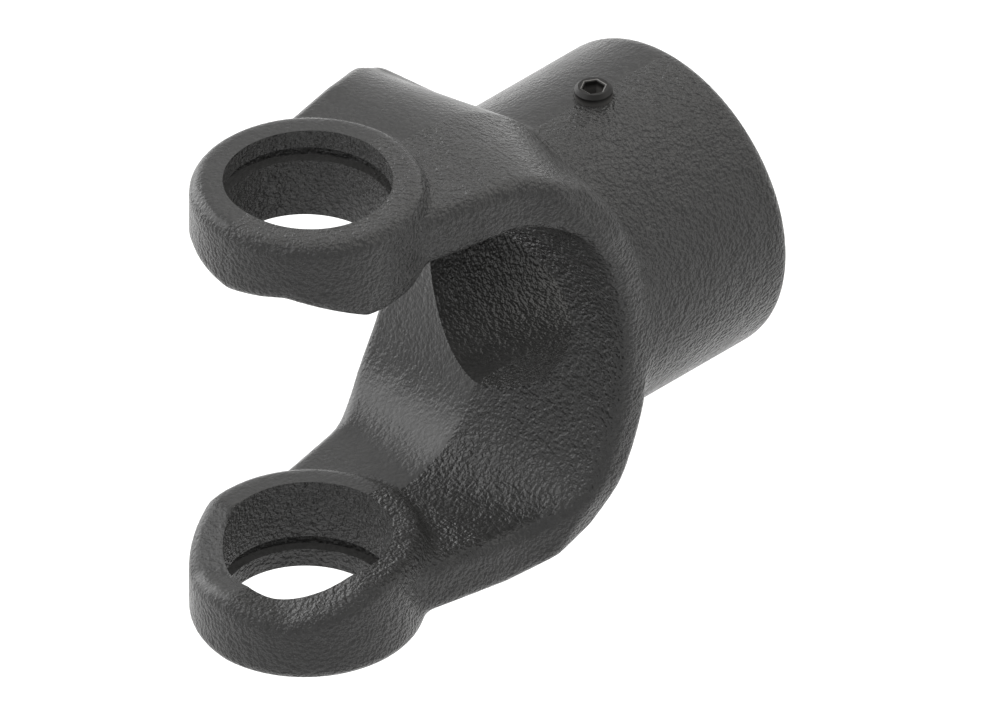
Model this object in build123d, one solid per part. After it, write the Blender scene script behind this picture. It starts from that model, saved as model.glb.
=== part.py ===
from build123d import *
from math import hypot, radians, sqrt, tan
import os

# A forged end yoke for a universal joint, with the set screw that locks it on its shaft.
# Millimetres. The origin is the centre of the joint: +X runs down the hub, +Z up through
# the two ears, and Y = 0 is the parting plane of the forging, where the drafted faces meet.

# Ears
cap_bore = 27.0
ear_diameter = 37.7
ear_outer_face = 42.5
ear_inner_face = 25.6
ear_rim_round = 2.35
ring_groove_near = 36.4
ring_groove_width = 2.5
ring_groove_depth = 1.7

# Relief on the inside of each ear's tip, which lets the cross swing in
relief_start = 2.6
relief_angle = 25.5
relief_depth = 4.1
relief_draft = 9.0

# Fork, measured in the parting plane
arm_outer_face = 39.2
arm_inner_face = 28.3
shoulder_radius = 33.5
shoulder_centre = 24.0
back_radius = 57.4
crotch_radius = 40.8
crotch_corner = 20.0
heel_round = 10.0
fork_edge_round = 2.35

# What the same outline has become at the sides of the fork
side_shoulder_centre = 23.4
side_corner = 13.0
face_draft = 2.0
crotch_draft = 8.5
back_draft = 13.5

# Fork seen from above: half widths, and how far down the hub each is reached
neck_half_width = 15.6
neck_round = 6.0
arm_half_width = 21.3
arm_widens_at = 28.0
arm_bend = 20.0
root_widens_to = 38.5
root_bend = 12.0

# Fork seen along the hub: it is as wide as the hub up to here, then tapers to its arms
full_width_height = 24.5
end_bend = 16.0
arm_top_half_width = 22.0

# Hub
hub_diameter = 53.3
hub_end = 81.8
hub_end_round = 2.5
shaft_bore = 31.75

# Set screw, standing in a tapped hole through the top of the hub
screw_position = 63.9
screw_diameter = 6.2
screw_length = 12.0
screw_stands_proud = 1.7
screw_end_chamfer = 0.6
screw_point_diameter = 3.2
screw_point_depth = 0.8
key_across_flats = 3.2
key_mouth_across = 3.8
key_mouth_depth = 0.25
key_depth = 3.2
thread_clearance = 0.05
hole_countersink = 0.5

# How far a cutting shape runs past the face that it opens
past = 1.0

ear_radius = ear_diameter / 2
hub_radius = hub_diameter / 2
side = hub_radius + past
slope = tan(radians(face_draft))


def arc_corner(centre_x, centre_z, radius, big_radius):
    """Where a circle in the upper half crosses the larger circle about the joint centre."""
    distance = hypot(centre_x, centre_z)
    along = (big_radius ** 2 - radius ** 2 + distance ** 2) / (2 * distance)
    across = sqrt(big_radius ** 2 - along ** 2)
    x = (along * centre_x - across * centre_z) / distance
    z = (along * centre_z + across * centre_x) / distance
    return x, z


def point_between(centre_x, centre_z, first, last):
    """The point halfway along the arc about a centre, from one point to another."""
    middle_x = (first[0] + last[0]) / 2 - centre_x
    middle_z = (first[1] + last[1]) / 2 - centre_z
    radius = hypot(first[0] - centre_x, first[1] - centre_z)
    reach = radius / hypot(middle_x, middle_z)
    return centre_x + middle_x * reach, centre_z + middle_z * reach


def fork_profile(y, outer, shoulder, shoulder_x, back, inner, corner, crotch):
    """Closed side outline of the fork at one depth y: a C, open towards the joint centre."""
    shoulder_z = outer - shoulder
    flat_end = (shoulder_x, outer)
    heel = arc_corner(shoulder_x, shoulder_z, shoulder, back)
    on_shoulder = point_between(shoulder_x, shoulder_z, flat_end, heel)
    corner_z = inner - corner
    corner_x = sqrt((crotch - corner) ** 2 - corner_z ** 2)
    reach = crotch / (crotch - corner)
    touch = (corner_x * reach, corner_z * reach)
    inner_end = (corner_x, inner)
    on_corner = point_between(corner_x, corner_z, inner_end, touch)

    def at(point, up=1):
        return (point[0], y, up * point[1])

    root_out = (0, outer)
    root_in = (0, inner)
    outline = Wire([
        Line(at(root_out), at(flat_end)),
        ThreePointArc(at(flat_end), at(on_shoulder), at(heel)),
        ThreePointArc(at(heel), at((back, 0)), at(heel, -1)),
        ThreePointArc(at(heel, -1), at(on_shoulder, -1), at(flat_end, -1)),
        Line(at(flat_end, -1), at(root_out, -1)),
        Line(at(root_out, -1), at(root_in, -1)),
        Line(at(root_in, -1), at(inner_end, -1)),
        ThreePointArc(at(inner_end, -1), at(on_corner, -1), at(touch, -1)),
        ThreePointArc(at(touch, -1), at((crotch, 0)), at(touch)),
        ThreePointArc(at(touch), at(on_corner), at(inner_end)),
        Line(at(inner_end), at(root_in)),
        Line(at(root_in), at(root_out)),
    ])
    heels = [v for v in outline.vertices() if abs(abs(v.Z) - heel[1]) < 0.01 and v.X > inner]
    return Face(outline).fillet_2d(heel_round, heels).outer_wire()


def fork_blank():
    """Both drafted halves of the fork, each ruled from the parting plane out to its side."""
    fall = side * slope
    crotch_fall = side * tan(radians(crotch_draft))
    back_fall = side * tan(radians(back_draft))
    middle = fork_profile(0, arm_outer_face, shoulder_radius, shoulder_centre, back_radius,
                          arm_inner_face, crotch_corner, crotch_radius)
    halves = []
    for y in (side, -side):
        edge = fork_profile(y, arm_outer_face - fall, shoulder_radius - fall,
                            side_shoulder_centre, back_radius - back_fall,
                            arm_inner_face + fall, side_corner, crotch_radius + crotch_fall)
        halves.append(Solid.make_loft([middle, edge], ruled=True))
    return halves[0] + halves[1]


def plan_prism():
    """The outline of ears and fork from above, as a prism taller than the fork."""
    points = [
        (0, neck_half_width),
        (arm_widens_at, arm_half_width),
        (root_widens_to, hub_radius),
        (back_radius, hub_radius),
        (back_radius, -hub_radius),
        (root_widens_to, -hub_radius),
        (arm_widens_at, -arm_half_width),
        (0, -neck_half_width),
    ]
    plan = make_face(Polyline(*points, close=True))
    for place, bend in ((arm_widens_at, arm_bend), (root_widens_to, root_bend)):
        corners = [v for v in plan.vertices() if abs(v.X - place) < 0.01]
        plan = fillet(corners, bend)
    plan += Circle(ear_radius)
    necks = [v for v in plan.vertices() if 1 < v.X < ear_radius]
    plan = fillet(necks, neck_round)
    return extrude(plan, amount=ear_outer_face, both=True)


def end_prism():
    """The fork's outline seen along the hub, as a prism longer than the fork."""
    points = [
        (hub_radius, full_width_height),
        (arm_top_half_width, arm_outer_face),
        (-arm_top_half_width, arm_outer_face),
        (-hub_radius, full_width_height),
        (-hub_radius, -full_width_height),
        (-arm_top_half_width, -arm_outer_face),
        (arm_top_half_width, -arm_outer_face),
        (hub_radius, -full_width_height),
    ]
    outline = make_face(Polyline(*points, close=True))
    corners = [v for v in outline.vertices() if abs(abs(v.Y) - full_width_height) < 0.01]
    outline = fillet(corners, end_bend)
    return extrude(Plane.YZ * outline, amount=back_radius)


def fork_sides(fork):
    """The long edges where the two sides of the fork meet its outer and inner faces."""
    walls = [face for face in fork.faces() if abs(face.normal_at().Y) > 0.5]
    edges = [edge for wall in walls for edge in wall.edges() if edge.center().X > 0.01]
    return [edge for edge in edges if sum(other.is_same(edge) for other in edges) == 1]


def fork():
    """The C that carries the ears, with its long edges rounded."""
    body = fork_blank() & plan_prism() & end_prism()
    return fillet(fork_sides(body), fork_edge_round)


def tip_relief():
    """What is cut from an ear's tip: a slope down to two drafted faces that meet at Y = 0."""
    run = 1 / tan(radians(relief_angle))
    fall = ear_radius * tan(radians(relief_draft))
    below = ear_inner_face - past
    beyond = -ear_radius - past

    def outline(y, depth):
        points = [
            (-relief_start, y, below),
            (-relief_start, y, ear_inner_face),
            (-relief_start - depth * run, y, ear_inner_face + depth),
            (beyond, y, ear_inner_face + depth),
            (beyond, y, below),
        ]
        return Wire(Polyline(*points, close=True).edges())

    halves = []
    for y in (ear_radius, -ear_radius):
        sections = [outline(0, relief_depth), outline(y, relief_depth + fall)]
        halves.append(Solid.make_loft(sections, ruled=True))
    return halves[0] + halves[1]


def ear():
    """The upper ear: an upright cylinder whose ends fall away on both sides of Y = 0."""
    fall = ear_radius * slope
    points = [
        (0, ear_outer_face),
        (ear_radius, ear_outer_face - fall),
        (ear_radius, ear_inner_face + fall),
        (0, ear_inner_face),
        (-ear_radius, ear_inner_face + fall),
        (-ear_radius, ear_outer_face - fall),
    ]
    roof = extrude(Plane.YZ * make_face(Polyline(*points, close=True)), ear_radius, both=True)
    boss = Cylinder(ear_radius, ear_outer_face, align=(Align.CENTER, Align.CENTER, Align.MIN))
    body = boss & roof
    body -= tip_relief()
    rims = [edge for edge in body.edges() if edge.length > 1 and on_boss(edge)]
    return fillet(rims, ear_rim_round)


def on_boss(edge):
    """Whether an edge runs around the outside of the ear, not up it or across it."""
    around = all(abs(hypot(p.X, p.Y) - ear_radius) < 0.05 for p in (edge @ 0.1, edge @ 0.5, edge @ 0.9))
    return around and abs((edge % 0.5).Z) < 0.9


def hub_blank():
    """The hub before it is bored, from inside the fork's back to its rounded end."""
    crotch_at_side = crotch_radius + hub_radius * tan(radians(crotch_draft))
    back_at_side = back_radius - hub_radius * tan(radians(back_draft))
    start = (crotch_at_side + back_at_side) / 2
    length = hub_end - start
    body = Pos(start, 0, 0) * Rot(0, 90, 0) * Cylinder(
        hub_radius, length, align=(Align.CENTER, Align.CENTER, Align.MIN))
    rim = body.edges().filter_by(GeomType.CIRCLE).sort_by(Axis.X)[-1]
    return fillet(rim, hub_end_round)


def ring_groove():
    """The groove near one end of a cap bore, which holds a snap ring."""
    radius = cap_bore / 2 + ring_groove_depth
    middle = ring_groove_near + ring_groove_width / 2
    return Pos(0, 0, middle) * Cylinder(radius, ring_groove_width)


def yoke():
    """The forging: two ears, the fork between them and the bored hub, in one piece."""
    upper = ear()
    lower = Rot(180, 0, 0) * upper
    body = fork() + hub_blank() + upper + lower
    body -= Rot(0, 90, 0) * Cylinder(
        shaft_bore / 2, hub_end + past, align=(Align.CENTER, Align.CENTER, Align.MIN))
    body -= Cylinder(cap_bore / 2, 2 * (ear_outer_face + past))
    body -= ring_groove()
    body -= Rot(180, 0, 0) * ring_groove()
    body -= screw_hole()
    return body


def hexagon(across_flats, z):
    """A hexagon at one height, with two of its corners on the Y axis."""
    return Pos(0, 0, z) * RegularPolygon(across_flats / sqrt(3), 6, rotation=30)


def set_screw():
    """A headless set screw with a bevelled hexagon socket above and a cup point below."""
    body = Cylinder(screw_diameter / 2, screw_length, align=(Align.CENTER, Align.CENTER, Align.MAX))
    body = chamfer(body.edges().filter_by(GeomType.CIRCLE), screw_end_chamfer)
    body -= extrude(hexagon(key_across_flats, 0), -key_depth)
    body -= loft([hexagon(key_mouth_across, 0), hexagon(key_across_flats, -key_mouth_depth)])
    cup = Cone(screw_point_diameter / 2, 0, screw_point_depth,
               align=(Align.CENTER, Align.CENTER, Align.MIN))
    body -= Pos(0, 0, -screw_length) * cup
    return Pos(screw_position, 0, hub_radius + screw_stands_proud) * body


def screw_hole():
    """The tapped hole through the hub's wall, drawn at the thread's crest, and its countersink."""
    radius = screw_diameter / 2 + thread_clearance
    bottom = shaft_bore / 4
    hole = Cylinder(radius, hub_radius + past - bottom, align=(Align.CENTER, Align.CENTER, Align.MIN))
    sink = Pos(0, 0, hub_radius) * Cone(radius, radius + 2 * hole_countersink, 2 * hole_countersink)
    return Pos(screw_position, 0, bottom) * hole + Pos(screw_position, 0, 0) * sink


os.makedirs("parts", exist_ok=True)
export_step(yoke(), "parts/yoke.step")
export_step(set_screw(), "parts/set_screw.step")
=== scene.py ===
# %% [markdown]
# # A forged end yoke
#
# This lesson dresses one steel forging: the end yoke of a driveline joint, with two bored ears, a curved
# fork, a round hub and a small black set screw. The solids already exist at their real size. Here we give
# them the soft corners, the pebbled skin and the clean machined edges that the real part has.
#
# First the solids are loaded. They are a fixed frame: nothing in this file moves them. Everything is in
# metres, +X runs down the hub and +Z goes up through the two ears.

# %% Load the fixed frame
from math import cos, hypot, pi, radians, sin, sqrt, tan
import bpy
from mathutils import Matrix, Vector


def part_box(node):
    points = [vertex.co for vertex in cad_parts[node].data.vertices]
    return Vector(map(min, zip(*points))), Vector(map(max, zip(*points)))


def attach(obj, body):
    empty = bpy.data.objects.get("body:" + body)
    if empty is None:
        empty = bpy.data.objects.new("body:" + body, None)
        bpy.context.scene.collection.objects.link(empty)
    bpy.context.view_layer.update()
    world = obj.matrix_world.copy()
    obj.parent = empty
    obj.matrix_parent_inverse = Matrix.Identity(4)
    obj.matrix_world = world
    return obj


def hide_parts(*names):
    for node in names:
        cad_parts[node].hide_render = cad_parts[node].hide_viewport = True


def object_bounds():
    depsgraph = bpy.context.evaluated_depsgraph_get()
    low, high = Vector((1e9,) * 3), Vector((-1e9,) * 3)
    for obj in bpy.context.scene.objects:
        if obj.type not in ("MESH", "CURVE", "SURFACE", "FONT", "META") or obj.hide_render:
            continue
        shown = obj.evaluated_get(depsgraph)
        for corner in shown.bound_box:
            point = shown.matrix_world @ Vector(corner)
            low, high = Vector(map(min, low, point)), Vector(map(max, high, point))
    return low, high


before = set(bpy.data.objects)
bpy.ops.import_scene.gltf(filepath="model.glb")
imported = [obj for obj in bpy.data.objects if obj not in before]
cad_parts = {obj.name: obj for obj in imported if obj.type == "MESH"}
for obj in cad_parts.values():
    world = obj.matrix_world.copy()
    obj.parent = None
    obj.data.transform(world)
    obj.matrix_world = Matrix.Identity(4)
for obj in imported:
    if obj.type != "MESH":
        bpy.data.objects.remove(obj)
cad_low, cad_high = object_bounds()
scene = bpy.context.scene
MM = 0.001
print("solids from", tuple(cad_low), "to", tuple(cad_high))

# %% [markdown]
# ## The camera
#
# The photograph is a parallel view, as technical pictures often are: it looks from the ears' side at 45
# degrees and from as high above as the corner of a cube. A perspective camera would make the near ear larger
# than the far one, so this camera is orthographic. Its scale is the width of the picture in metres, and it
# is aimed at the point that lies at the picture's centre.

# %% Place an orthographic camera
picture_width = 158.2 * MM
camera_distance = 0.6
aim_right = 30.4 * MM
aim_up = 6.0 * MM
towards_camera = Vector((-1, -1, 1)).normalized()
right = Vector((1, -1, 0)).normalized()
up = towards_camera.cross(right)
bpy.ops.object.camera_add()
camera = bpy.context.object
camera.data.type = "ORTHO"
camera.data.ortho_scale = picture_width
camera.location = right * aim_right + up * aim_up + towards_camera * camera_distance
camera.rotation_mode = "QUATERNION"
camera.rotation_quaternion = towards_camera.to_track_quat("Z", "Y")
scene.camera = camera
print("camera looks from", tuple(round(c, 3) for c in camera.location))

# %% [markdown]
# ## Helpers for edit mode
#
# Most steps below follow one pattern: choose faces or edges by where they are, then run a mesh operator on
# them. Choosing by place, not by number, keeps a step working when an earlier one changes. The helper
# deselects everything, selects what passes a test and leaves the object in edit mode.

# %% Helpers to select by place
def only(piece):
    """Make one object the only selected one, and the active one."""
    bpy.ops.object.select_all(action="DESELECT")
    piece.select_set(True)
    bpy.context.view_layer.objects.active = piece


def edit_faces(piece, test):
    """Enter edit mode with just the faces selected that pass the test; return how many."""
    only(piece)
    bpy.ops.object.mode_set(mode="EDIT")
    bpy.ops.mesh.select_mode(type="FACE")
    bpy.ops.mesh.select_all(action="DESELECT")
    bpy.ops.object.mode_set(mode="OBJECT")
    chosen = 0
    for face in piece.data.polygons:
        if test(face):
            face.select = True
            chosen += 1
    bpy.ops.object.mode_set(mode="EDIT")
    return chosen

# %% Helpers to weld, to close and to count
def weld(piece, distance):
    """Enter edit mode and merge the vertices that lie within a distance of each other."""
    only(piece)
    bpy.ops.object.mode_set(mode="EDIT")
    bpy.ops.mesh.select_all(action="SELECT")
    bpy.ops.mesh.remove_doubles(threshold=distance)


def close_mouths():
    """In edit mode: put one flat face over every open mouth of the mesh."""
    bpy.ops.mesh.select_mode(type="EDGE")
    bpy.ops.mesh.select_all(action="DESELECT")
    bpy.ops.mesh.select_non_manifold()
    bpy.ops.mesh.fill_holes(sides=0)


def apply_modifier(piece, kind, **settings):
    """Add one modifier, give it its settings and apply it."""
    only(piece)
    modifier = piece.modifiers.new(kind.lower(), kind)
    for name, value in settings.items():
        setattr(modifier, name, value)
    bpy.ops.object.modifier_apply(modifier=modifier.name)


def triangles(piece):
    """How many triangles a piece's mesh holds."""
    piece.data.calc_loop_triangles()
    return len(piece.data.loop_triangles)

# %% [markdown]
# ## The forging before it is machined
#
# A real yoke is made in two steps. A red-hot bar is squeezed between dies, which leaves soft corners and a
# rough skin. Then the holes are cut, which leaves sharp rims. We copy that order. The loaded solid has its
# holes already, so we take a copy, weld its loose triangles together, delete the walls of the holes and
# close their mouths with flat faces. What is left is the blank as it came out of the dies.

# %% Copy the solid and weld it
solid_weld = 0.001 * MM
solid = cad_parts["yoke"]
forging = bpy.data.objects.new("yoke_forging", solid.data.copy())
scene.collection.objects.link(forging)
weld(forging, solid_weld)
bpy.ops.object.mode_set(mode="OBJECT")
print("welded copy:", len(forging.data.polygons), "faces")

# %% Sizes of the holes, as the solids have them
cap_radius = 13.5 * MM
groove_radius = 15.2 * MM
groove_near = 36.4 * MM
groove_width = 2.5 * MM
shaft_radius = 15.875 * MM
screw_hole_radius = 3.15 * MM
screw_low, screw_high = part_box("set_screw")
screw_x = (screw_low.x + screw_high.x) / 2
hub_radius = cad_high.y
ear_top = cad_high.z
slack = 0.1 * MM
print("the screw stands at x =", round(screw_x / MM, 2), "mm")

# %% Delete the walls of the holes and close their mouths
wall_lean = 0.5
screw_reach = 1.3 * screw_hole_radius


def on_groove_step(corner):
    """Whether a corner lies on a flat side of a snap-ring groove."""
    in_groove = groove_near - slack < abs(corner.z) < groove_near + groove_width + slack
    return hypot(corner.x, corner.y) > cap_radius - slack and in_groove


def in_a_hole(face):
    """Whether a face is part of a machined wall, by its lean, its centre and its corners."""
    corners = [forging.data.vertices[i].co for i in face.vertices]
    if all(hypot(c.x, c.y) < groove_radius + slack for c in corners):
        return abs(face.normal.z) < wall_lean or all(on_groove_step(c) for c in corners)
    if all(hypot(c.y, c.z) < shaft_radius + slack for c in corners):
        return face.center.x > 0 and abs(face.normal.x) < wall_lean
    near_screw = all(hypot(c.x - screw_x, c.y) < screw_reach for c in corners)
    return near_screw and face.center.z > shaft_radius - slack


removed = edit_faces(forging, in_a_hole)
bpy.ops.mesh.delete(type="FACE")
close_mouths()
bpy.ops.object.mode_set(mode="OBJECT")
print("removed", removed, "wall faces")

# %% [markdown]
# ## Soft corners by remeshing
#
# The inside corners of a forging are always rounded, because a sharp die would wear and tear the metal. The
# blank still has sharp ones where the hub meets the fork and where the ears meet the arms. A bevel needs
# clean edge loops, which these curved seams don't have. A voxel remesh rebuilds the skin as one even net, and
# after that a smoothing of just those places pulls the corner into a round one.

# %% Rebuild the skin as an even net
voxel = 0.62 * MM
apply_modifier(forging, "REMESH", mode="VOXEL", voxel_size=voxel, use_smooth_shade=True)
print("even net:", triangles(forging), "triangles")

# %% Where the inside corners are
fork_back = 50.0 * MM
ear_radius = -cad_low.x
arm_outer = 39.2 * MM
arm_inner = 28.3 * MM
draft = tan(radians(2.0))
ear_root_reach = 3.4 * MM
hub_root_reach = 0.8 * ear_root_reach


def near(distance, reach):
    """1 on a corner, falling smoothly to 0 at its reach."""
    share = max(0.0, 1.0 - distance / reach)
    return share * share * (3.0 - 2.0 * share)


def corner_weight(point):
    """How much a point is to be smoothed: 1 in the corner of the hub or of an ear."""
    at_hub = hypot(point.x - fork_back, hypot(point.y, point.z) - hub_radius)
    fall = draft * abs(point.y)
    off_ear = hypot(point.x, point.y) - ear_radius
    at_outer = hypot(off_ear, abs(point.z) - (arm_outer - fall))
    at_inner = hypot(off_ear, abs(point.z) - (arm_inner + fall))
    on_arm = 1.0 if point.x > 0 else 0.0
    return max(near(at_hub, hub_root_reach), on_arm * near(min(at_outer, at_inner), ear_root_reach))

# %% Weigh the corners and smooth them
smooth_step = 0.5
corner_passes = 24
skin_passes = 2
group = forging.vertex_groups.new(name="corners")
softened = 0
for vertex in forging.data.vertices:
    weight = corner_weight(vertex.co)
    if weight > 0:
        group.add([vertex.index], weight, "REPLACE")
        softened += 1
apply_modifier(forging, "SMOOTH", factor=smooth_step, iterations=corner_passes, vertex_group="corners")
apply_modifier(forging, "SMOOTH", factor=smooth_step, iterations=skin_passes)
print("softened the corners at", softened, "points")

# %% [markdown]
# ## Machining the holes
#
# Now the holes are cut as the machine shop cuts them, with cutters that have the shape of the hole. A
# Boolean modifier subtracts each one. The cutters run well past the faces that they open, so that no
# face of a cutter lies in a face of the forging, which is where Booleans go wrong.

# %% A helper that cuts with a round cutter
def machine(piece, radius, length, centre, axis="Z", tip_radius=None, sides=160):
    """Subtract a round or many-sided cutter from the piece; a second radius makes it a cone."""
    turn = (0, pi / 2, 0) if axis == "X" else (0, 0, 0)
    bpy.ops.object.select_all(action="DESELECT")
    bpy.ops.mesh.primitive_cone_add(vertices=sides, radius1=tip_radius or radius, radius2=radius,
                                    depth=length, location=centre, rotation=turn)
    cutter = bpy.context.object
    bpy.ops.object.transform_apply(location=True, rotation=True, scale=True)
    apply_modifier(piece, "BOOLEAN", operation="DIFFERENCE", object=cutter, solver="EXACT")
    bpy.data.objects.remove(cutter)

# %% Cut the cap bores, their grooves, the shaft bore and the screw's hole
past = 2 * MM
machine(forging, cap_radius, 2 * (ear_top + past), (0, 0, 0))
for side in (1, -1):
    groove_middle = side * (groove_near + groove_width / 2)
    machine(forging, groove_radius, groove_width, (0, 0, groove_middle))
shaft_start = 25 * MM
shaft_length = cad_high.x + past - shaft_start
machine(forging, shaft_radius, shaft_length, (shaft_start + shaft_length / 2, 0, 0), axis="X")
hole_bottom = 8 * MM
hole_length = hub_radius + past - hole_bottom
machine(forging, screw_hole_radius, hole_length, (screw_x, 0, hole_bottom + hole_length / 2))
print("machined:", triangles(forging), "triangles")

# %% [markdown]
# ## Sharp rims, smooth skin
#
# A machined rim is sharp and the skin around it is smooth. Shading by angle keeps both: where two faces meet
# at more than the limit the edge stays crisp, and everywhere else the shading flows.

# %% Shade by angle and hand the piece to the frame
rim_angle = radians(32)
only(forging)
bpy.ops.object.shade_smooth_by_angle(angle=rim_angle)
forging.vertex_groups.clear()
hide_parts("yoke")
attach(forging, "root")
print("forging handed over:", forging.name)

# %% [markdown]
# ## The set screw
#
# The screw is a short bar with a thread, a six-sided socket for a hexagon key and bevelled ends. The thread is
# one V-shaped step wound into a helix. The Screw modifier makes it from a line of four points: it turns the
# line about the axis and lifts it by one pitch each turn.

# %% Draw one step of the thread
screw_radius = (screw_high.x - screw_low.x) / 2
screw_top = screw_high.z
screw_bottom = screw_low.z
screw_length = screw_top - screw_bottom
pitch = 0.9 * MM
thread_depth = 0.45 * MM
crest_share = 0.12
spare_turns = 2
thread_weld = 0.01 * MM
core = screw_radius - thread_depth
thread_bottom = screw_bottom - spare_turns * pitch
crest_low = (1 - crest_share) / 2
profile = [(core, 0.0), (screw_radius, crest_low), (screw_radius, 1 - crest_low), (core, 1.0)]
bpy.ops.object.select_all(action="DESELECT")
bpy.ops.mesh.primitive_circle_add(vertices=len(profile), radius=pitch, fill_type="NOTHING")
screw = bpy.context.object
screw.name = "socket_set_screw"
for vertex, (radius, share) in zip(screw.data.vertices, profile):
    vertex.co = (radius, 0, thread_bottom + share * pitch)
for edge in screw.data.edges:
    ends = [screw.data.vertices[i].co.x for i in edge.vertices]
    edge.select = max(ends) < core + thread_weld
only(screw)
bpy.ops.object.mode_set(mode="EDIT")
bpy.ops.mesh.select_mode(type="EDGE")
bpy.ops.mesh.delete(type="EDGE")
bpy.ops.object.mode_set(mode="OBJECT")
print("one step of the thread:", len(screw.data.edges), "edges")

# %% Wind the thread
steps_a_turn = 48
turns = int(screw_length / pitch) + 2 * spare_turns
apply_modifier(screw, "SCREW", angle=2 * pi, screw_offset=pitch, iterations=turns,
               steps=steps_a_turn, render_steps=steps_a_turn,
               use_merge_vertices=True, merge_threshold=thread_weld, use_smooth_shade=False)
weld(screw, thread_weld)
close_mouths()
bpy.ops.mesh.select_all(action="SELECT")
bpy.ops.mesh.normals_make_consistent(inside=False)
bpy.ops.object.mode_set(mode="OBJECT")
print("thread:", turns, "turns,", triangles(screw), "triangles")

# %% [markdown]
# The helix runs past both ends of the screw. A bar that is bevelled below is intersected with it, so that the
# thread fades out into the bevel as it does on a screw from the box. The end that stands out of the hub is
# plain: it is a smooth collar, joined on above, and a hair thinner, so that its side doesn't lie in the
# thread's crest. Then the socket and the cup point are cut. The socket's mouth has a narrow bevel with six
# sides, which catches the light.

# %% A helper that joins or intersects with a bar
def combine_with_bar(operation, radius, low, high, bevelled_end, bevel):
    """Join or intersect the screw with an upright bar, one end of which is bevelled: 1 above, -1 below."""
    bpy.ops.object.select_all(action="DESELECT")
    bpy.ops.mesh.primitive_cylinder_add(vertices=96, radius=radius, depth=high - low,
                                        location=(0, 0, (low + high) / 2))
    bar = bpy.context.object
    bpy.ops.object.transform_apply(location=True, rotation=True, scale=True)
    edit_faces(bar, lambda face: face.normal.z * bevelled_end > 0.9)
    bpy.ops.mesh.bevel(offset=bevel, segments=1, affect="EDGES")
    bpy.ops.object.mode_set(mode="OBJECT")
    apply_modifier(screw, "BOOLEAN", operation=operation, object=bar, solver="EXACT")
    bpy.data.objects.remove(bar)

# %% Trim the thread and add the collar
end_bevel = 0.6 * MM
collar_height = 2.4 * MM
collar_overlap = 0.4 * MM
collar_relief = 0.02 * MM
collar_low = screw_top - collar_height
combine_with_bar("INTERSECT", screw_radius, screw_bottom, collar_low + collar_overlap, -1, end_bevel)
combine_with_bar("UNION", screw_radius - collar_relief, collar_low, screw_top, 1, end_bevel)
print("trimmed:", triangles(screw), "triangles")

# %% Cut the socket and the cup point
key_corner = 3.2 * MM / sqrt(3)
key_depth = 3.2 * MM
mouth_corner = 3.8 * MM / sqrt(3)
mouth_depth = 0.22 * MM
cup_radius = 1.6 * MM
cup_depth = 0.8 * MM
cup_tip = 0.01 * MM
above = 0.5 * MM
bottom_of_key = screw_top - key_depth
machine(screw, key_corner, key_depth + above, (0, 0, bottom_of_key + (key_depth + above) / 2), sides=6)
slant = (mouth_corner - key_corner) / mouth_depth
machine(screw, mouth_corner + slant * above, mouth_depth + above,
        (0, 0, screw_top - mouth_depth + (mouth_depth + above) / 2), sides=6, tip_radius=key_corner)
cup_slant = cup_radius / cup_depth
machine(screw, cup_tip, cup_depth + above, (0, 0, screw_bottom + (cup_depth - above) / 2),
        sides=48, tip_radius=cup_radius + cup_slant * above)

# %% Put the screw in its place
only(screw)
screw.location.x = screw_x
bpy.ops.object.transform_apply(location=True, rotation=True, scale=True)
bpy.ops.object.shade_smooth_by_angle(angle=rim_angle)
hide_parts("set_screw")
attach(screw, "root")
print("set screw:", triangles(screw), "triangles")

# %% [markdown]
# ## Helpers for shader nodes
#
# The finishes below are built from small nodes. A few helpers keep them readable as sums and products. Each
# takes numbers or sockets alike, and gives back the socket that holds its result.

# %% Helpers for groups and arithmetic
def new_group(name, given=(), found=()):
    """A shader node group with inputs (name, kind, value) and outputs (name, kind)."""
    made = bpy.data.node_groups.new(name, "ShaderNodeTree")
    for label, kind, value in given:
        made.interface.new_socket(name=label, in_out="INPUT", socket_type=kind).default_value = value
    for label, kind in found:
        made.interface.new_socket(name=label, in_out="OUTPUT", socket_type=kind)
    return made


def feed(tree, value, slot):
    """Give an input its value: a link where it is a socket, or else a plain number or colour."""
    if isinstance(value, bpy.types.NodeSocket):
        tree.links.new(value, slot)
    else:
        slot.default_value = value


def math_node(tree, operation, first, second=0.0):
    """A Math node."""
    node = tree.nodes.new("ShaderNodeMath")
    node.operation = operation
    feed(tree, first, node.inputs[0])
    feed(tree, second, node.inputs[1])
    return node.outputs[0]


def times(tree, first, second):
    """First times second."""
    return math_node(tree, "MULTIPLY", first, second)


def plus(tree, first, second):
    """First plus second."""
    return math_node(tree, "ADD", first, second)


def one_minus(tree, value):
    """What a share leaves over."""
    return math_node(tree, "SUBTRACT", 1.0, value)

# %% Helpers for places, noises and colours
def own_axes(tree):
    """The piece's own coordinates: the whole vector, then X, Y and Z."""
    coordinates = tree.nodes.new("ShaderNodeTexCoord").outputs["Object"]
    apart = tree.nodes.new("ShaderNodeSeparateXYZ")
    tree.links.new(coordinates, apart.inputs["Vector"])
    return coordinates, apart.outputs["X"], apart.outputs["Y"], apart.outputs["Z"]


def off_axis(tree, first, second, centre=0.0):
    """Distance from an axis: two coordinates across it, of which the first is counted from the centre."""
    across = math_node(tree, "SUBTRACT", first, centre)
    squares = plus(tree, times(tree, across, across), times(tree, second, second))
    return math_node(tree, "SQRT", squares)


def fade(tree, value, start, end, at_start, curve="LINEAR"):
    """A Map Range node that falls to 0 between two values."""
    node = tree.nodes.new("ShaderNodeMapRange")
    node.interpolation_type = curve
    tree.links.new(value, node.inputs["Value"])
    for label, number in (("From Min", start), ("From Max", end), ("To Min", at_start), ("To Max", 0.0)):
        node.inputs[label].default_value = number
    return node.outputs["Result"]


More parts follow.
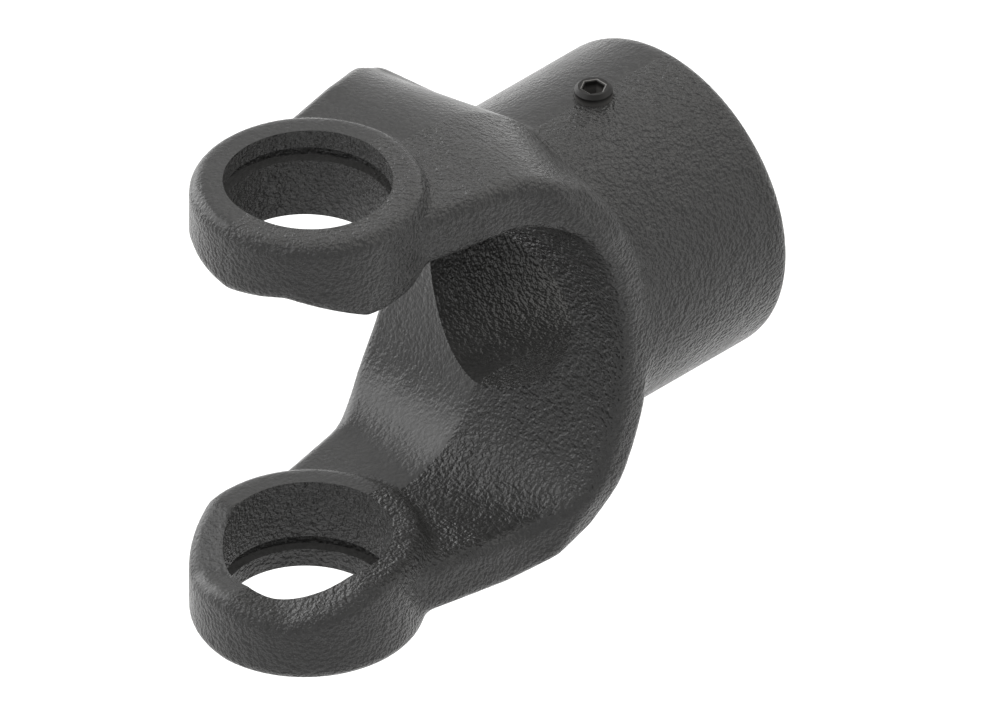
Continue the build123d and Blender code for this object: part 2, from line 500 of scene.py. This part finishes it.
def noise(tree, vector, scale, detail):
    """A Noise Texture node, as one number at each point."""
    node = tree.nodes.new("ShaderNodeTexNoise")
    tree.links.new(vector, node.inputs["Vector"])
    feed(tree, scale, node.inputs["Scale"])
    node.inputs["Detail"].default_value = detail
    return node.outputs["Fac"]


def mix_colours(tree, share, first, second):
    """A Mix node for colours: the first where the share is 0, the second where it is 1."""
    node = tree.nodes.new("ShaderNodeMix")
    node.data_type = "RGBA"
    tree.links.new(share, node.inputs["Factor"])
    feed(tree, first, node.inputs["A"])
    feed(tree, second, node.inputs["B"])
    return node.outputs["Result"]

# %% [markdown]
# ## The forged skin
#
# Hot scale and the grit blast that removes it leave a skin of tiny pebbles, about half a millimetre across.
# That is far too fine for the mesh, so a Bump node makes it from two noises: one for the pebbles and a wider
# one that breaks up their regularity. The group has named inputs, so that the forging and the screw can share
# it with other values.

# %% A node group for pebbled metal: its sockets and its noises
pebbles = new_group(
    "pebbled_metal",
    given=(("Pebble Size", "NodeSocketFloat", 0.4),
           ("Height", "NodeSocketFloat", 0.05),
           ("Dark", "NodeSocketColor", (0.04, 0.04, 0.038, 1)),
           ("Light", "NodeSocketColor", (0.09, 0.088, 0.084, 1)),
           ("Roughness", "NodeSocketFloat", 0.5)),
    found=(("Color", "NodeSocketColor"), ("Roughness", "NodeSocketFloat"), ("Normal", "NodeSocketVector")))
inputs = pebbles.nodes.new("NodeGroupInput").outputs
outputs = pebbles.nodes.new("NodeGroupOutput").inputs
place, along_x, along_y, along_z = own_axes(pebbles)
wide_share = 0.22
pebble_scale = math_node(pebbles, "DIVIDE", 1.0, times(pebbles, inputs["Pebble Size"], MM))
fine = noise(pebbles, place, pebble_scale, 1.5)
wide = noise(pebbles, place, times(pebbles, pebble_scale, wide_share), 3.0)
patches = noise(pebbles, place, 90.0, 4.0)
height = plus(pebbles, times(pebbles, fine, 0.75), times(pebbles, wide, 0.6))
print("pebbled_metal starts with", len(pebbles.nodes), "nodes")

# %% [markdown]
# The grain isn't the same everywhere. It is calmer on level faces, and calmer again on the side beyond Y = 0,
# which was formed by the other die, and in the crotch. The walls of the two cap bores keep all of it, and get
# painted light that makes them paler, in place of the light that they lose inside the bores. Each of these is a
# mask between 0 and 1, made from the piece's own coordinates or from the way a face looks.

# %% Where the grain is calmer
near_calm = 0.35
far_calm = 0.75
far_wall_calm = 0.45
crotch_calm = 0.4
crotch_rubbed = 43 * MM
crotch_end = 47 * MM
arms_start = 21 * MM
facing = pebbles.nodes.new("ShaderNodeSeparateXYZ")
pebbles.links.new(pebbles.nodes.new("ShaderNodeNewGeometry").outputs["True Normal"], facing.inputs["Vector"])
level = math_node(pebbles, "ABSOLUTE", facing.outputs["Z"])
far_die = math_node(pebbles, "GREATER_THAN", along_y, 0.0)
calm = plus(pebbles, times(pebbles, far_die, far_calm - near_calm), near_calm)
near_cap = math_node(pebbles, "LESS_THAN", off_axis(pebbles, along_x, along_y), groove_radius + slack)
forged = one_minus(pebbles, times(pebbles, near_cap, one_minus(pebbles, level)))
worn = times(pebbles, times(pebbles, far_die, forged), far_wall_calm)
in_crotch = fade(pebbles, off_axis(pebbles, along_x, along_z), crotch_rubbed, crotch_end,
                 crotch_calm, "SMOOTHSTEP")
rubbed = times(pebbles, in_crotch, math_node(pebbles, "GREATER_THAN", along_x, arms_start))
grain_left = times(pebbles, one_minus(pebbles, worn), one_minus(pebbles, times(pebbles, level, calm)))
grain_left = times(pebbles, grain_left, one_minus(pebbles, rubbed))

# %% The bump, the colour and the roughness
bump = pebbles.nodes.new("ShaderNodeBump")
pebbles.links.new(height, bump.inputs["Height"])
reach = times(pebbles, inputs["Height"], grain_left)
pebbles.links.new(times(pebbles, reach, MM), bump.inputs["Distance"])

patch_share = 0.25
tone = plus(pebbles, times(pebbles, patches, patch_share), times(pebbles, fine, 1.0 - patch_share))
# Painted light: the walls of the two cap bores are made paler by this share, in place of the light that they
# lose inside the bores.
painted_bore_light = 0.6
bore_light_scale = pebbles.nodes.new("ShaderNodeVectorMath")
bore_light_scale.operation = "SCALE"
pebbles.links.new(mix_colours(pebbles, tone, inputs["Dark"], inputs["Light"]), bore_light_scale.inputs[0])
brighter = math_node(pebbles, "SUBTRACT", 1.0 + painted_bore_light, times(pebbles, forged, painted_bore_light))
pebbles.links.new(brighter, bore_light_scale.inputs["Scale"])

rough_spread = 0.25
uneven = times(pebbles, math_node(pebbles, "SUBTRACT", patches, 0.5), rough_spread)
pebbles.links.new(bore_light_scale.outputs["Vector"], outputs["Color"])
pebbles.links.new(plus(pebbles, inputs["Roughness"], uneven), outputs["Roughness"])
pebbles.links.new(bump.outputs["Normal"], outputs["Normal"])
print("pebbled_metal has", len(pebbles.nodes), "nodes")

# %% [markdown]
# The shaft bore was cut by a coarse tool, so it is rougher than the skin around it. A second group finds it: it
# is 1 nearer to the X axis than a little over the bore's radius, and 0 elsewhere. A third group finds the two
# places of the screw where light is painted into the colour: a painted highlight on the narrow bevel around the
# socket, and a painted reflection of the hub at the foot of the collar.

# %% A node group that finds the shaft bore
bore_place = new_group("in_shaft_bore", found=[("Inside", "NodeSocketFloat")])
bore_found = bore_place.nodes.new("NodeGroupOutput").inputs
bore_axes = own_axes(bore_place)
from_x_axis = off_axis(bore_place, bore_axes[2], bore_axes[3])
inside_bore = math_node(bore_place, "LESS_THAN", from_x_axis, shaft_radius + slack)
bore_place.links.new(inside_bore, bore_found["Inside"])
print("in_shaft_bore has", len(bore_place.nodes), "nodes")

# %% A node group that finds where light is painted on the screw
# Painted light on the screw: the rim of the socket gets a painted highlight, the foot of the collar a painted
# reflection of the hub.
hair = 0.012 * MM
foot_low = screw_top - 1.5 * MM
foot_high = screw_top - 0.8 * MM
painted_light_places = new_group("screw_painted_light", found=[("Rim Highlight", "NodeSocketFloat"), ("Foot Reflection", "NodeSocketFloat")])
painted_light_found = painted_light_places.nodes.new("NodeGroupOutput").inputs
screw_axes = own_axes(painted_light_places)
from_screw_axis = off_axis(painted_light_places, screw_axes[1], screw_axes[2], screw_x)
by_the_mouth = math_node(painted_light_places, "LESS_THAN", from_screw_axis, mouth_corner + slack)
over_the_bevel = math_node(painted_light_places, "GREATER_THAN", screw_axes[3], screw_top - mouth_depth / 2)
under_the_top = math_node(painted_light_places, "LESS_THAN", screw_axes[3], screw_top - hair)
painted_light_places.links.new(times(painted_light_places, times(painted_light_places, by_the_mouth, over_the_bevel), under_the_top), painted_light_found["Rim Highlight"])
painted_light_places.links.new(fade(painted_light_places, screw_axes[3], foot_low, foot_high, 1.0), painted_light_found["Foot Reflection"])
print("screw_painted_light has", len(painted_light_places.nodes), "nodes")

# %% [markdown]
# ## Two metals
#
# Forged steel and black oxide take their colour, roughness and normal from the pebble group, each with its own
# values. What is the same all over a surface, such as the specular level, stands on the shader itself. Neither
# is set as a metal: both are covered by a dull oxide skin, which reflects like paint.

# %% Forged steel
def oxide_skin(name, specular, **values):
    """A Principled material fed by the pebble group; returns the material and its group node."""
    made = bpy.data.materials.new(name)
    made.use_nodes = True
    shader = made.node_tree.nodes["Principled BSDF"]
    shader.inputs["Specular IOR Level"].default_value = specular
    grain = made.node_tree.nodes.new("ShaderNodeGroup")
    grain.node_tree = pebbles
    for label, value in values.items():
        grain.inputs[label.replace("_", " ")].default_value = value
    for source, target in (("Color", "Base Color"), ("Roughness", "Roughness"), ("Normal", "Normal")):
        made.node_tree.links.new(grain.outputs[source], shader.inputs[target])
    return made, grain


forged_height = 1.1
bore_extra_height = 1.6
forged_steel, forged_grain = oxide_skin(
    "forged_steel", 0.3, Dark=(0.012, 0.0119, 0.0117, 1), Light=(0.046, 0.0457, 0.0450, 1),
    Pebble_Size=0.64, Height=forged_height, Roughness=0.26)
steel_tree = forged_steel.node_tree
bored = steel_tree.nodes.new("ShaderNodeGroup")
bored.node_tree = bore_place
tool_marks = times(steel_tree, bored.outputs["Inside"], bore_extra_height)
steel_tree.links.new(plus(steel_tree, forged_height, tool_marks), forged_grain.inputs["Height"])
print("forged_steel has", len(steel_tree.nodes), "nodes")

# %% Black oxide, with a painted highlight and a painted reflection
black_oxide, oxide_grain = oxide_skin(
    "black_oxide", 0.2, Dark=(0.006, 0.0056, 0.0052, 1), Light=(0.012, 0.0114, 0.0106, 1),
    Pebble_Size=0.2, Height=0.01, Roughness=0.45)
oxide_tree = black_oxide.node_tree
painted_light_node = oxide_tree.nodes.new("ShaderNodeGroup")
painted_light_node.node_tree = painted_light_places
# Painted light: a pale painted highlight on the bevel around the socket, and a painted reflection of the hub
# that makes the collar lighter towards its foot.
base = oxide_grain.outputs["Color"]
for label, painted_tone in (("Foot Reflection", (0.075, 0.073, 0.070, 1)), ("Rim Highlight", (0.17, 0.166, 0.16, 1))):
    base = mix_colours(oxide_tree, painted_light_node.outputs[label], base, painted_tone)
oxide_tree.links.new(base, oxide_tree.nodes["Principled BSDF"].inputs["Base Color"])
for piece, finish in ((forging, forged_steel), (screw, black_oxide)):
    piece.data.materials.clear()
    piece.data.materials.append(finish)
    print(piece.name, "wears", finish.name)

# %% [markdown]
# ## Floor and background
#
# The part floats above a plain white floor, as it does in the photograph. The floor is pale by its own colour
# and throws light back up, which gives the underside of the hub its pale edge. Where a ray shows the background
# itself, straight to the camera or mirrored in a surface, the floor also glows and the world is white. So the
# background is pure white without more light on the part.

# %% Which rays show the background
def background_rays(tree):
    """One for the rays that show the background itself: straight, mirrored in a surface or through it."""
    rays = tree.nodes.new("ShaderNodeLightPath").outputs
    shown = math_node(tree, "MAXIMUM", rays["Is Camera Ray"], rays["Is Glossy Ray"])
    return math_node(tree, "MAXIMUM", shown, rays["Is Transmission Ray"])

# %% The floor
floor_width = 12.0
floor_drop = 60 * MM
floor_grey = 0.5
floor_glow = 0.7
bpy.ops.object.select_all(action="DESELECT")
bpy.ops.mesh.primitive_plane_add(size=floor_width, location=(0, 0, cad_low.z - floor_drop))
floor = bpy.context.object
floor.name = "floor"
paper = bpy.data.materials.new("white_floor")
paper.use_nodes = True
paper_tree = paper.node_tree
paper_shader = paper_tree.nodes["Principled BSDF"]
paper_shader.inputs["Base Color"].default_value = (floor_grey, floor_grey, floor_grey, 1)
paper_shader.inputs["Roughness"].default_value = 0.9
paper_shader.inputs["Emission Color"].default_value = (1, 1, 1, 1)
paper_tree.links.new(times(paper_tree, background_rays(paper_tree), floor_glow),
                     paper_shader.inputs["Emission Strength"])
floor.data.materials.append(paper)
print("floor", round(floor_drop / MM), "mm below the part")

# %% The world
world_strength = 0.55
world = bpy.data.worlds.new("studio")
world.use_nodes = True
world_tree = world.node_tree
sky = world_tree.nodes["Background"]
sky.inputs["Color"].default_value = (1, 1, 1, 1)
seen = times(world_tree, background_rays(world_tree), 1.0 - world_strength)
world_tree.links.new(plus(world_tree, seen, world_strength), sky.inputs["Strength"])
scene.world = world
print("the world gives", world_strength, "of white as light")

# %% [markdown]
# ## Lamps
#
# In the photograph no lamp throws a shadow: the light reaches into the cap bores and the crotch as if nothing
# stood in its way. So these lamps cast none either. Two on the left are the main ones, two weak ones fill the
# near sides, and a wide warm soft box gives the level faces and the rounds their shine. The world is an even
# grey that still darkens the corners and leaves a faint shade on the floor.

# %% Lamps without shadows
def lamp(name, turned, raised, size, watts):
    """A round area lamp one metre off, turned from +X and raised by degrees, that faces the part."""
    flat = cos(radians(raised))
    direction = Vector((flat * cos(radians(turned)), flat * sin(radians(turned)), sin(radians(raised))))
    bpy.ops.object.light_add(type="AREA", location=direction)
    made = bpy.context.object
    made.name = name
    made.data.shape = "DISK"
    made.data.size = size
    made.data.energy = watts
    made.data.use_shadow = False
    made.rotation_mode = "QUATERNION"
    made.rotation_quaternion = direction.to_track_quat("Z", "Y")
    return made


lamp("back_left_lamp", turned=135, raised=50, size=1.0, watts=5.8)
lamp("left_lamp", turned=90, raised=15, size=0.9, watts=5.4)
lamp("right_lamp", turned=315, raised=15, size=0.8, watts=0.7)
lamp("near_lamp", turned=225, raised=20, size=1.2, watts=0.6)
soft_box = lamp("soft_box", turned=-8, raised=50, size=1.4, watts=5.2)
soft_box.data.shape = "RECTANGLE"
soft_box.data.size_y = 0.9
soft_box.data.color = (1.0, 0.98, 0.93)

# %% [markdown]
# ## Finish
#
# The last cell sets the view transform to Standard.

# %% Finish
scene.view_settings.view_transform = "Standard"
